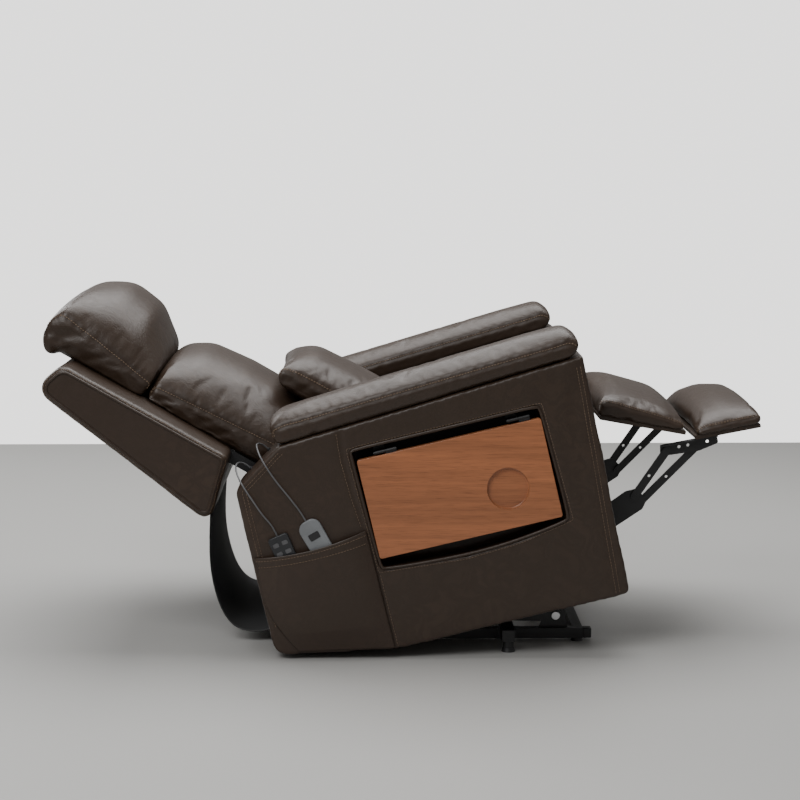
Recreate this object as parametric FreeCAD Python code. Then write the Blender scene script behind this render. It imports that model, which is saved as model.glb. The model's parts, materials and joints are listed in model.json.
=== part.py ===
import FreeCAD, Part
import math
import os

# Lift recliner chair, reclined and tilted back, with its footrest out and its lift base on the floor.
# World frame: +X is the way the sitter faces, +Y the sitter's left, +Z up, floor at z = 0, millimetres.
# The upholstered body is drawn level in the chassis frame, whose origin is the foot of the arms' front
# edge, and is then tilted back. The backrest has a frame of its own: u up the back, w towards the sitter.

# Driving dimensions, chassis
ORIGIN_X = -10.0
TILT = 13.6
CHASSIS_X = 533.0
CHASSIS_Z = 155.0
ARM_IN = 285.0
ARM_OUT = 450.0
ARM_WALL = 14.0
ARM_BACK = -838.0
ARM_TOP_REAR = 538.0
ARM_TOP_FRONT = 576.0
CUSHION_HALF = 280.0
SIDE_PLATE_IN = 280.0
DECK_Z = 352.0
SEAT_TOP = 482.0
SEAT_REAR = -560.0
SEAT_NOSE = 10.0

# Tray in the right arm
TRAY_LENGTH = 442.0
TRAY_HEIGHT = 241.0
TRAY_THICK = 18.0
TRAY_TOP_REAR = (-544.0, 462.0)
TRAY_SLOPE = 0.9
CUP_AT = (331.0, 146.0)
CUP_RADIUS = 44.0
CUP_DEPTH = 11.0
RECESS_DEPTH = 70.0

# Backrest
BACK_FOOT = (-836.0, 536.0)
BACK_ANGLE = 136.7
SHELL_HALF = 415.0
HINGE = (-620.0, 330.0)

# Base and lift
TUBE = 25.0
TUBE_WALL = 2.0
RAIL_Y = 270.0
RAIL_Z = 20.0
BASE_REAR = -215.0
BASE_FRONT = 449.0
CAP = 21.0
LINK_T = 6.0
LINK_OUT_Y = 268.0
PLATE_Y = 261.0
LINK_IN_Y = 254.0
LIFT_LOW = (382.0, 63.0)
LIFT_HIGH = (383.0, 95.0)
FRAME_LOW = (-18.0, 72.0)
FRAME_HIGH = (-65.0, 147.0)
TILT_PIVOT = (133.0, 120.0)
OUTRIGGER_X = 259.0
OUTRIGGER_END = 392.0

# Legrest, in the chassis frame
LEG_ROOT = (-128.0, 90.0)
LEG_P1 = (88.0, 184.0)
LEG_P2 = (101.0, 165.0)
LEG_Q1 = (190.0, 276.0)
LEG_Q2 = (267.0, 268.0)
LEG_PLATE_Y = 240.0
LEG_BAR_Y = 246.5
LEG_BAR_OUT_Y = 233.5
OTTOMAN_FRONT = (432.0, 286.0)
FLAP_HINGE = (246.0, 304.0)
FLAP_ANGLE = 156.2
FLAP_LENGTH = 228.0
BOARD = 10.0
PIN_R = 5.0
RUN_GAP = 0.08

# Actuators: (pivot, rod end, offset across the chair)
LIFT_MOTOR = ((-155.0, 60.0), (272.0, 123.0), 0.0)
RECLINE_MOTOR = ((212.0, 152.0), (-90.2, 179.2), 110.0)
RECLINE_LEVER = (-600.0, 170.0)
EAR_STARTS = (9.6, -15.6)
LEG_MOTOR = ((-712.0, 122.0), (-148.0, 165.0), -110.0)

# Handset cords: routes in the chassis frame as (x, y, z)
CORD_R = 2.0
MAIN_CORD = [
    (-800, -312, 481.5),
    (-811, -315, 498),
    (-823, -330, 507),
    (-829, -358, 508),
    (-829, -392, 503),
    (-826, -425, 493),
    (-820, -449, 476),
    (-810, -459, 450),
    (-799, -461, 421),
    (-788, -460, 390),
    (-771.2, -457, 358.6),
    (-767, -457, 334),
]
MASSAGE_CORD = [
    (-745, -330, 518.2),
    (-755, -333, 534),
    (-765, -348, 543),
    (-769, -375, 545),
    (-767, -405, 538),
    (-763, -433, 526),
    (-756, -452, 508),
    (-746, -460, 481),
    (-734, -462, 452),
    (-721, -461, 425),
    (-710, -460, 400),
    (-699.9, -457, 376),
    (-693, -457, 352),
]

SIDES = (("right", -1), ("left", 1))
CHASSIS = FreeCAD.Placement(
    FreeCAD.Vector(CHASSIS_X, 0, CHASSIS_Z),
    FreeCAD.Rotation(FreeCAD.Vector(0, 1, 0), -TILT),
)
LEVEL = FreeCAD.Placement()
WORLD = FreeCAD.Placement(FreeCAD.Vector(ORIGIN_X, 0, 0), FreeCAD.Rotation())


def vec(x, y, z):
    return FreeCAD.Vector(x, y, z)


def save(name, shape, placement=LEVEL):
    """Write one sub-part, placed in the world frame."""
    done = shape.copy()
    done.Placement = WORLD.multiply(placement.multiply(done.Placement))
    solids = done.Solids
    done = solids[0] if len(solids) == 1 else Part.makeCompound(solids)
    done.exportStep(os.path.join("parts", name + ".step"))
    box = done.BoundBox
    print(f"{name:24s} {len(solids):2d} solids  {done.Volume / 1e6:8.3f} dm3  "
          f"x {box.XMin:7.1f} {box.XMax:7.1f}  y {box.YMin:7.1f} {box.YMax:7.1f}  "
          f"z {box.ZMin:7.1f} {box.ZMax:7.1f}")


def outline(points, y):
    """Closed face in the XZ plane at y. A point is (x, z) or (x, z, corner radius)."""
    count = len(points)
    ends = []
    for i, p in enumerate(points):
        here = vec(p[0], y, p[1])
        radius = p[2] if len(p) > 2 else 0.0
        if not radius:
            ends.append((here, here, None))
            continue
        before = points[i - 1]
        after = points[(i + 1) % count]
        a = (vec(before[0], y, before[1]) - here).normalize()
        b = (vec(after[0], y, after[1]) - here).normalize()
        half = a.getAngle(b) / 2
        reach = radius / math.tan(half)
        middle = (a + b).normalize() * (radius / math.sin(half) - radius)
        ends.append((here + a * reach, here + b * reach, here + middle))
    edges = []
    for i, (start, end, middle) in enumerate(ends):
        if middle is not None:
            edges.append(Part.Arc(start, middle, end).toShape())
        following = ends[(i + 1) % count][0]
        if (following - end).Length > 1e-6:
            edges.append(Part.LineSegment(end, following).toShape())
    return Part.Face(Part.Wire(edges))


def slab(points, y0, y1):
    """Outline extruded across the chair from y0 to y1."""
    low = min(y0, y1)
    return outline(points, low).extrude(vec(0, abs(y1 - y0), 0))


def side_slab(points, inner, outer, sign):
    return slab(points, sign * inner, sign * outer)


def box(x0, x1, y0, y1, z0, z1):
    return Part.makeBox(x1 - x0, y1 - y0, z1 - z0, vec(x0, y0, z0))


def pin(point, y0, y1, radius):
    """Round bar across the chair."""
    low = min(y0, y1)
    return Part.makeCylinder(radius, abs(y1 - y0), vec(point[0], low, point[1]), vec(0, 1, 0))


def cross_tube(point, y0, y1, size=TUBE, wall=TUBE_WALL):
    """Square tube across the chair, centred on a point."""
    x, z = point
    outer = box(x - size / 2, x + size / 2, y0, y1, z - size / 2, z + size / 2)
    inner = size / 2 - wall
    return outer.cut(box(x - inner, x + inner, y0 - 1, y1 + 1, z - inner, z + inner))


def bar(a, b, width, y0, y1, holes=(), ends=0.0):
    """Flat link with round ends between two points, with pivot holes."""
    ax, az = a
    bx, bz = b
    length = math.hypot(bx - ax, bz - az) + 2 * ends
    angle = math.degrees(math.atan2(bz - az, bx - ax))
    half = width / 2
    shape = slab([(-ends, -half, 0), (length - ends, -half, 0), (length - ends, half, 0), (-ends, half, 0)], y0, y1)
    shape = shape.fuse([pin((-ends, 0), y0, y1, half), pin((length - ends, 0), y0, y1, half)])
    shape.rotate(vec(0, 0, 0), vec(0, 1, 0), -angle)
    shape.translate(vec(ax, 0, az))
    low, high = min(y0, y1), max(y0, y1)
    for at, radius in holes:
        shape = shape.cut(pin(at, low - 1, high + 1, radius))
    return shape.removeSplitter()


def between(a, b, share):
    return (a[0] + (b[0] - a[0]) * share, a[1] + (b[1] - a[1]) * share)


def clevis(pivot, root, y):
    """Two ears and the pin of a motor pivot, centred on y."""
    ears = [bar(pivot, root, 24.0, y - 15, y - 11), bar(pivot, root, 24.0, y + 11, y + 15)]
    return ears[0].fuse([ears[1], pin(pivot, y - 15, y + 15, PIN_R)])


def back_point(u, w):
    """Point of the backrest frame, in the chassis frame."""
    a = math.radians(BACK_ANGLE)
    x = BACK_FOOT[0] + u * math.cos(a) + w * math.sin(a)
    z = BACK_FOOT[1] + u * math.sin(a) - w * math.cos(a)
    return (x, z)


def back_slab(points, y0, y1):
    placed = []
    for p in points:
        placed.append(back_point(p[0], p[1]) + tuple(p[2:]))
    return slab(placed, y0, y1)


def rounded(shape, radius, keep=lambda edge: True):
    return shape.makeFillet(radius, [e for e in shape.Edges if keep(e)])


def across(edge):
    """True for an edge that runs round an end face, not across the chair."""
    low, high = edge.BoundBox.YMin, edge.BoundBox.YMax
    return high - low < 0.01


def grow(name, shapes, placement=LEVEL):
    """Several separate solids in one sub-part."""
    save(name, Part.makeCompound(shapes), placement)


# ---- Base: stays on the floor ----

def base():
    rail_low, rail_high = RAIL_Z - TUBE / 2, RAIL_Z + TUBE / 2
    rail_in = RAIL_Y - TUBE / 2
    for side, sign in SIDES:
        rail = box(BASE_REAR, BASE_FRONT, -TUBE / 2, TUBE / 2, rail_low, rail_high)
        bore = TUBE / 2 - TUBE_WALL
        rail = rail.cut(box(BASE_REAR - 1, BASE_FRONT + 1, -bore, bore, RAIL_Z - bore, RAIL_Z + bore))
        rail.translate(vec(0, sign * RAIL_Y, 0))
        save("base_rail_" + side, rail)
    tubes = [cross_tube((x, RAIL_Z), -rail_in, rail_in) for x in (BASE_FRONT - TUBE / 2, BASE_REAR + TUBE / 2)]
    ears = clevis(LIFT_MOTOR[0], (BASE_REAR + 19, 26), LIFT_MOTOR[2])
    ears = ears.cut(box(BASE_REAR, BASE_REAR + TUBE, -rail_in, rail_in, rail_low, rail_high))
    grow("base_cross_tubes", tubes + [ears])

    caps, feet, stubs, brackets, bolts = [], [], [], [], []
    for _, sign in SIDES:
        y = sign * RAIL_Y
        cap = box(BASE_FRONT, BASE_FRONT + CAP, y - TUBE / 2, y + TUBE / 2, rail_low, rail_high)
        caps.append(rounded(cap, 3.0))
        for x in (BASE_FRONT - 14, BASE_REAR + 16):
            feet.append(Part.makeCone(15, 12, rail_low, vec(x, y, 0)))
        out_low = 26.0
        out_high = 54.0
        y0, y1 = sorted((sign * (RAIL_Y + TUBE / 2), sign * OUTRIGGER_END))
        arm = box(OUTRIGGER_X - 15, OUTRIGGER_X + 15, y0, y1, out_low, out_high)
        web = slab([(OUTRIGGER_X - 26, rail_low, 4), (OUTRIGGER_X + 26, rail_low, 4),
                    (OUTRIGGER_X + 15, out_high, 4), (OUTRIGGER_X - 15, out_high, 4)],
                   sign * (RAIL_Y + TUBE / 2), sign * (RAIL_Y + TUBE / 2 + 4))
        stubs.append(arm.fuse(web).removeSplitter())
        foot_y = sign * (OUTRIGGER_END - 16)
        foot = Part.makeCylinder(13, out_low - 9, vec(OUTRIGGER_X, foot_y, 9))
        pad = Part.makeCone(17, 14, 9, vec(OUTRIGGER_X, foot_y, 0))
        feet.append(foot.fuse(pad))
        plate = slab([(LIFT_LOW[0] - 40, rail_high, 0), (LIFT_LOW[0] + 30, rail_high, 0),
                      (LIFT_HIGH[0] + 18, LIFT_HIGH[1] + 4, 10), (LIFT_HIGH[0] - 3, LIFT_HIGH[1] + 17, 12),
                      (LIFT_HIGH[0] - 20, LIFT_HIGH[1] + 4, 10)],
                     sign * PLATE_Y, sign * (PLATE_Y + LINK_T))
        plate = plate.cut(pin(LIFT_LOW, -400, 400, 8.0)).cut(pin(LIFT_HIGH, -400, 400, 8.0))
        brackets.append(plate)
        low = pin(LIFT_LOW, sign * PLATE_Y, sign * (LINK_OUT_Y + LINK_T + 0.4), 8.0)
        head = pin(LIFT_LOW, sign * (LINK_OUT_Y + LINK_T + 0.4), sign * (LINK_OUT_Y + LINK_T + 6.4), 11.0)
        high = pin(LIFT_HIGH, sign * (LINK_IN_Y - 0.6), sign * (PLATE_Y + LINK_T), 8.0)
        bolts += [low.fuse(rounded(head, 2.0)), high]
    grow("base_end_caps", caps)
    grow("levelling_feet", feet)
    grow("base_outriggers", stubs)
    grow("lift_brackets", brackets)
    grow("base_pivot_bolts", bolts)


# ---- Lift links, lift frame ----

def lift():
    torque = (272.0, 62.0)
    low_links = []
    for _, sign in SIDES:
        y0, y1 = sign * LINK_OUT_Y, sign * (LINK_OUT_Y + LINK_T)
        holes = ((LIFT_LOW, 8.0 + RUN_GAP), (FRAME_LOW, 8.0 + RUN_GAP))
        low_links.append(bar(LIFT_LOW, FRAME_LOW, 30.0, y0, y1, holes))
    shaft = pin(torque, -LINK_OUT_Y, LINK_OUT_Y, 13.0)
    levers = [bar(torque, LIFT_MOTOR[1], 24.0, side, side + LINK_T) for side in EAR_STARTS]
    joined = shaft.fuse(low_links + levers)
    save("lift_lower_links", joined)

    high_links = []
    for _, sign in SIDES:
        y0, y1 = sign * LINK_IN_Y, sign * (LINK_IN_Y + LINK_T)
        holes = ((LIFT_HIGH, 8.0 + RUN_GAP), (FRAME_HIGH, 8.6))
        high_links.append(bar(LIFT_HIGH, FRAME_HIGH, 26.0, y0, y1, holes))
    grow("lift_upper_links", high_links)

    plates, pins = [], []
    for _, sign in SIDES:
        plate = slab([(-93, 55, 12), (-93, 170, 14), (40, 176, 14), (262, 176, 14), (262, 128, 14),
                      (150, 98, 20), (20, 52, 16)], sign * PLATE_Y, sign * (PLATE_Y + LINK_T))
        low = pin(FRAME_LOW, sign * PLATE_Y, sign * (LINK_OUT_Y + LINK_T + 0.5), 8.0)
        tilt = pin(TILT_PIVOT, sign * (PLATE_Y + 0.5), sign * (ARM_IN - 0.5), 8.0)
        high = pin(FRAME_HIGH, sign * (LINK_IN_Y - 0.5), sign * (PLATE_Y + 0.5), 6.2)
        plates.append(plate.fuse([low, tilt, high]))
    grow("lift_frame_plates", plates)
    tube = cross_tube((245.0, 152.0), -PLATE_Y, PLATE_Y)
    ears = clevis(RECLINE_MOTOR[0], (236, 152), RECLINE_MOTOR[2])
    half = TUBE / 2
    ears = ears.cut(box(245 - half, 245 + half, -PLATE_Y, PLATE_Y, 152 - half, 152 + half))
    grow("lift_frame_tube", [tube, ears])


def actuator(name, pivot, end, y, stroke, placement=LEVEL):
    """Motor housing with its tube, and the rod that slides in it."""
    length = math.hypot(end[0] - pivot[0], end[1] - pivot[1])
    angle = math.degrees(math.atan2(end[1] - pivot[1], end[0] - pivot[0]))
    along = vec(1, 0, 0)
    tube_end = length - max(0.0, -stroke) - 44.0
    gearbox = rounded(box(16, 96, -27, 27, -30, 30), 8.0)
    tube = Part.makeCylinder(19, tube_end - 90, vec(90, 0, 0), along)
    eye = Part.makeCylinder(12, 20, vec(0, -10, 0), vec(0, 1, 0)).fuse(box(0, 30, -10, 10, -11, 11))
    motor = gearbox.fuse([tube, eye]).cut(pin((0, 0), -20, 20, PIN_R + RUN_GAP))
    motor = motor.cut(Part.makeCylinder(11, tube_end - 40, vec(60, 0, 0), along))
    rod_start = tube_end - 96 - max(0.0, stroke) * 0.8
    rod = Part.makeCylinder(9, length - 12 - rod_start, vec(rod_start, 0, 0), along)
    knuckle = Part.makeCylinder(13, 18, vec(length, -9, 0), vec(0, 1, 0))
    rod = rod.fuse(knuckle).cut(Part.makeCylinder(6, 40, vec(length, -20, 0), vec(0, 1, 0)))
    for label, shape in (("motor", motor), ("rod", rod)):
        shape.rotate(vec(0, 0, 0), vec(0, 1, 0), -angle)
        shape.translate(vec(pivot[0], y, pivot[1]))
        save(f"{name}_{label}", shape, placement)


# ---- Chassis: steel and seat ----

def seat():
    plates = []
    for _, sign in SIDES:
        plate = slab([(-40, 35, 10), (-40, 345, 20), (-560, 345, 20), (-590, 368, 20), (-652, 368, 20),
                      (-662, 300, 20), (-775, 150, 20), (-775, 76, 10), (-640, 48, 20), (-397, 36, 20)],
                     sign * SIDE_PLATE_IN, sign * ARM_IN)
        pivots = (((-397.0, 60.0), 8.0 + RUN_GAP), (LEG_ROOT, 13.0 + RUN_GAP), (HINGE, 8.0))
        for at, radius in pivots:
            plate = plate.cut(pin(at, -400, 400, radius))
        plates.append(plate)
    grow("side_plates", plates, CHASSIS)

    rear = cross_tube((-752.0, 92.0), -SIDE_PLATE_IN, SIDE_PLATE_IN)
    front = cross_tube((-72.0, 52.0), -SIDE_PLATE_IN, SIDE_PLATE_IN)
    half = TUBE / 2
    ears = clevis(LEG_MOTOR[0], (-746, 97), LEG_MOTOR[2])
    ears = ears.cut(box(-752 - half, -752 + half, -SIDE_PLATE_IN, SIDE_PLATE_IN, 92 - half, 92 + half))
    grow("chassis_cross_tubes", [rear, front, ears], CHASSIS)
    inlet = box(-739.4, -715, 150, 178, 81, 103).cut(Part.makeCylinder(4, 14, vec(-727, 164, 80), vec(0, 0, 1)))
    save("power_inlet", inlet, CHASSIS)

    frame = box(-560, -60, -ARM_IN, ARM_IN, DECK_Z - 6, DECK_Z + 8)
    frame = frame.cut(box(-510, -110, -ARM_IN + 50, ARM_IN - 50, DECK_Z - 20, DECK_Z + 20))
    frame = frame.cut(box(-700, 0, SIDE_PLATE_IN - 2, ARM_IN + 5, DECK_Z - 20, DECK_Z - 0.5))
    frame = frame.cut(box(-700, 0, -ARM_IN - 5, -SIDE_PLATE_IN + 2, DECK_Z - 20, DECK_Z - 0.5))
    save("seat_frame", frame, CHASSIS)

    springs = []
    for i in range(5):
        y = -160 + 80 * i
        springs.append(box(-510, -110, y - 14, y + 14, DECK_Z, DECK_Z + 4))
    grow("seat_springs", springs, CHASSIS)
    cushion = slab([(SEAT_REAR, DECK_Z + 9, 20), (-50, DECK_Z + 9, 15), (-50, 413, 0), (SEAT_NOSE - 12, 413, 12),
                    (SEAT_NOSE, 448, 20), (-20, SEAT_TOP, 36), (-500, SEAT_TOP - 4, 60), (SEAT_REAR, 455, 24)],
                   -CUSHION_HALF, CUSHION_HALF)
    save("seat_cushion", cushion, CHASSIS)


# ---- Arms ----

ARM = [(10, 0, 14), (-560, 0, 0), (-842, 54, 38), (ARM_BACK, 459, 22), (-715, ARM_TOP_REAR, 0), (28, 577, 0)]
CAVITY = [(-35, 40, 0), (-545, 40, 0), (-790, 84, 0), (-798, 440, 0), (-700, 500, 0), (-20, 538, 0)]
OPENING = [(-554, 489, 10), (-99, 487, 10), (-91, 209, 16), (-213, 187, 60), (-346, 181, 90), (-550, 197, 16)]
MOUTH = [(ARM_BACK + 3, 294, 0), (-744, 279, 0), (-642, 283, 0), (-562, 296, 0)]


def arms():
    for side, sign in SIDES:
        arm = side_slab(ARM, ARM_IN, ARM_OUT, sign)
        niche = ARM_OUT - RECESS_DEPTH
        deep = niche - 2 * ARM_WALL if side == "right" else ARM_OUT - ARM_WALL
        arm = arm.cut(side_slab(CAVITY, ARM_IN + ARM_WALL, deep, sign))
        if side == "right":
            arm = arm.cut(side_slab(OPENING, niche, ARM_OUT + 5, sign))
        save("arm_" + side, arm, CHASSIS)
        pad = side_slab([(-718, ARM_TOP_REAR + 1.5, 8), (4, ARM_TOP_FRONT + 2.5, 12), (34, 611, 26),
                         (2, 652, 28), (-690, 615, 34), (-728, 594, 18)], ARM_IN, ARM_OUT + 2, sign)
        save("arm_pad_" + side, rounded(pad, 9.0, across), CHASSIS)

    lining = side_slab([(x, z, 0) for x, z in ((-548, 483), (-106, 481), (-98, 214), (-544, 202))],
                       ARM_OUT - RECESS_DEPTH, ARM_OUT - RECESS_DEPTH + 2, -1)
    save("recess_lining", lining, CHASSIS)

    face = -ARM_OUT
    patch = [(-562, 4, 0), (-788, 48, 30), (ARM_BACK + 4, 84, 20)] + MOUTH
    panel = slab(patch, face - 14, face - 17)
    inner = [(-574, 14, 0), (-782, 58, 22), (ARM_BACK + 15, 92, 12), (ARM_BACK + 15, 400, 0), (-574, 400, 0)]
    wall = slab(patch, face - 14, face).cut(slab(inner, face + 5, face - 30))
    save("side_pocket", panel.fuse(wall).removeSplitter(), CHASSIS)

    glides = []
    for _, sign in SIDES:
        y = sign * (ARM_IN + ARM_OUT) / 2
        for x, z, height in ((-700.0, 27.0, 12.0), (-60.0, 0.0, 10.0)):
            glides.append(Part.makeCylinder(14, height, vec(x, y, z - height)))
    body = [side_slab(ARM, ARM_IN, ARM_OUT, sign) for _, sign in SIDES]
    grow("arm_glides", [g.cut(body) for g in glides], CHASSIS)


# ---- Backrest ----

SHELL = [(0, 0, 14), (446, 0, 30), (478, -86, 34), (-22, -161, 26), (-33, -138, 16)]
SHELL_HOLLOW = [(16, -16, 0), (430, -16, 0), (458, -78, 0), (4, -142, 0)]
HEAD_PROFILE = [(252, 2, 20), (246, 112, 34), (330, 186, 60), (420, 200, 80), (510, 150, 60), (536, 60, 50),
                (524, -6, 30), (484, -32, 16), (484, 2, 0)]
BOLSTER = [(-165, 0.8, 0), (-230, 0.8, 0), (-230, 36, 10), (-168, 58, 10), (-168, 140, 30), (-90, 168, 60),
           (60, 170, 90), (170, 160, 60), (238, 118, 40), (240, 0.8, 0)]
PILLOW = [(-12, 184, 20), (-250, 179, 20), (-286, 276, 30), (-250, 294, 40), (-60, 284, 60), (-4, 225, 30)]


def back():
    bars, pins = [], []
    hinge_u, hinge_w = -298.5, -1.8
    for _, sign in SIDES:
        side = back_slab([(hinge_u - 20, -34, 14), (60, -34, 8), (60, -4, 8), (-262, -4, 10), (-272, 18, 10),
                          (hinge_u - 22, 18, 16)], sign * 272, sign * 278)
        bars.append(side.cut(pin(HINGE, -400, 400, 13.0)))
        pins.append(pin(HINGE, sign * 272, sign * (ARM_IN - 0.3), 8.0 - RUN_GAP))
    shaft = pin(HINGE, -278, 278, 13.0)
    lever = [bar(HINGE, RECLINE_LEVER, 26.0, RECLINE_MOTOR[2] + a, RECLINE_MOTOR[2] + a + 6)
             for a in EAR_STARTS]
    rung = back_slab([(36, -30, 4), (56, -30, 4), (56, -10, 4), (36, -10, 4)], -272, 272)
    panel = back_slab([(-262, -9, 0), (-8, -9, 0), (-8, -5, 0), (-262, -5, 0)], -272, 272)
    save("back_frame", shaft.fuse(bars + pins + lever + [rung, panel]), CHASSIS)

    shell = back_slab(SHELL, -SHELL_HALF, SHELL_HALF)
    shell = rounded(shell, 12.0, across)
    shell = shell.cut(back_slab(SHELL_HOLLOW, -SHELL_HALF + 26, SHELL_HALF - 26))
    for _, sign in SIDES:
        shell = shell.cut(back_slab([(-80, -40, 0), (40, -40, 0), (40, 5, 0), (-80, 5, 0)],
                                    sign * 269, sign * 281))
    save("back_shell", shell, CHASSIS)

    save("back_cushion", back_slab(BOLSTER, -CUSHION_HALF, CUSHION_HALF), CHASSIS)
    arms_of_head = []
    for _, sign in SIDES:
        arms_of_head.append(back_slab([(262, 3, 0), (500, 3, 0), (500, 9, 0), (262, 9, 0)],
                                      sign * 120, sign * 150))
    save("head_frame", Part.makeCompound(arms_of_head), CHASSIS)
    head = back_slab(HEAD_PROFILE, -CUSHION_HALF - 4, CUSHION_HALF + 4)
    slots = [back_slab([(250, 0, 0), (502, 0, 0), (502, 10, 0), (250, 10, 0)], s * 118, s * 152) for s in (-1, 1)]
    save("head_cushion", head.cut(slots), CHASSIS)
    save("lumbar_pillow", back_slab(PILLOW, -200, 225), CHASSIS)

    sheet = [(-927, 397), (-958, 300), (-967, 190), (-948, 115), (-900, 84), (-840, 80), (-765, 92)]
    outer = []
    inner = []
    for i, (x, z) in enumerate(sheet):
        ax, az = sheet[max(i - 1, 0)]
        bx, bz = sheet[min(i + 1, len(sheet) - 1)]
        length = math.hypot(bx - ax, bz - az)
        nx, nz = -(bz - az) / length, (bx - ax) / length
        outer.append((x - nx * 1.5, z - nz * 1.5))
        inner.append((x + nx * 1.5, z + nz * 1.5))
    save("rear_flap", slab(outer + inner[::-1], -CUSHION_HALF, CUSHION_HALF), CHASSIS)


# ---- Footrest ----

def legrest():
    plates, rear_bars, front_bars, brackets = [], [], [], []
    for _, sign in SIDES:
        y0, y1 = sign * LEG_PLATE_Y, sign * (LEG_PLATE_Y + 6)
        plate = slab([(-150, 72, 14), (-150, 112, 14), (70, 200, 10), (98, 200, 8), (116, 168, 10),
                      (100, 148, 8), (-112, 70, 14)], y0, y1)
        rivet = pin(LEG_P1, y0, sign * (LEG_BAR_Y + 6.6), PIN_R)
        stub = pin(LEG_P2, sign * (LEG_BAR_OUT_Y - 0.6), y1, PIN_R)
        plates.append(plate.cut(pin(LEG_ROOT, -400, 400, 13.0)).fuse([rivet, stub]))
        y0, y1 = sign * LEG_BAR_Y, sign * (LEG_BAR_Y + 6)
        holes = ((LEG_P1, PIN_R + RUN_GAP), (LEG_Q1, PIN_R), (between(LEG_P1, LEG_Q1, 0.45), 3.6))
        link = bar(LEG_P1, LEG_Q1, 19.0, y0, y1, holes)
        link = link.fuse(pin(LEG_Q1, y1, sign * (LEG_PLATE_Y - 0.6), PIN_R))
        rear_bars.append(link)
        y0, y1 = sign * LEG_BAR_OUT_Y, sign * (LEG_BAR_OUT_Y + 6)
        holes = ((LEG_P2, PIN_R + RUN_GAP), (LEG_Q2, 4.0), (between(LEG_P2, LEG_Q2, 0.45), 3.6))
        front_bars.append(bar(LEG_P2, LEG_Q2, 18.0, y0, y1, holes))
        y0, y1 = sign * LEG_PLATE_Y, sign * (LEG_PLATE_Y + 5)
        web = slab([(172, 266, 9), (178, 292, 0), (318, 285, 0), (318, 264, 6), (268, 256, 9), (200, 262, 9)], y0, y1)
        for x in (222.0, 244.0, 292.0):
            web = web.cut(pin((x, 277.0 - 0.05 * (x - 222.0)), -400, 400, 4.0))
        web = web.cut(pin(LEG_Q1, -400, 400, PIN_R + RUN_GAP))
        flange = slab([(178, 289, 0), (178, 292, 0), (318, 285, 0), (318, 282, 0)], y0, sign * (LEG_PLATE_Y + 24))
        brackets.append(web.fuse(flange))
    save("leg_torque_tube", pin(LEG_ROOT, -ARM_IN + 0.4, ARM_IN - 0.4, 13.0).fuse(
        [bar(LEG_ROOT, LEG_MOTOR[1], 24.0, LEG_MOTOR[2] + a, LEG_MOTOR[2] + a + 6) for a in EAR_STARTS]), CHASSIS)
    grow("leg_drive_plates", plates, CHASSIS)
    grow("leg_rear_bars", rear_bars, CHASSIS)
    grow("leg_front_bars", front_bars, CHASSIS)
    grow("ottoman_brackets", brackets, CHASSIS)

    board = slab([(262, 289, 3), (OTTOMAN_FRONT[0] - 8, 281, 3), (OTTOMAN_FRONT[0] - 8, 291, 3), (262, 299, 3)],
                 -270, 270)
    save("ottoman_board", board, CHASSIS)
    pad = slab([(266, 299.5, 6), (OTTOMAN_FRONT[0], 291.5, 10), (OTTOMAN_FRONT[0] - 4, 336, 20),
                (350, 362, 40), (296, 352, 20), (268, 322, 12)], -CUSHION_HALF, CUSHION_HALF)
    save("ottoman_pad", pad, CHASSIS)

    a = math.radians(FLAP_ANGLE)
    along = (math.cos(a), math.sin(a))
    up = (math.sin(a), -math.cos(a))

    def flap_point(u, w, *radius):
        return (FLAP_HINGE[0] + u * along[0] + w * up[0], FLAP_HINGE[1] + u * along[1] + w * up[1]) + radius

    board = slab([flap_point(6, 0, 2), flap_point(FLAP_LENGTH - 8, 0, 3),
                  flap_point(FLAP_LENGTH - 8, BOARD, 3), flap_point(6, BOARD, 2)], -270, 270)
    knuckles = []
    for y in (-200, -20, 160):
        leaf = slab([flap_point(0, 0), flap_point(12, 0), flap_point(12, 3), flap_point(0, 3)], y, y + 40)
        knuckles.append(pin(FLAP_HINGE, y, y + 40, 5.0).fuse(leaf))
    save("flap_board", board.fuse(knuckles), CHASSIS)
    pad = slab([flap_point(10, BOARD + 0.5, 4), flap_point(14, 40, 16), flap_point(60, 68, 40),
                flap_point(FLAP_LENGTH - 40, 80, 40), flap_point(FLAP_LENGTH, 66, 24),
                flap_point(FLAP_LENGTH, BOARD + 0.5, 6)], -CUSHION_HALF, CUSHION_HALF)
    save("flap_pad", pad, CHASSIS)


# ---- Tray ----

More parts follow.
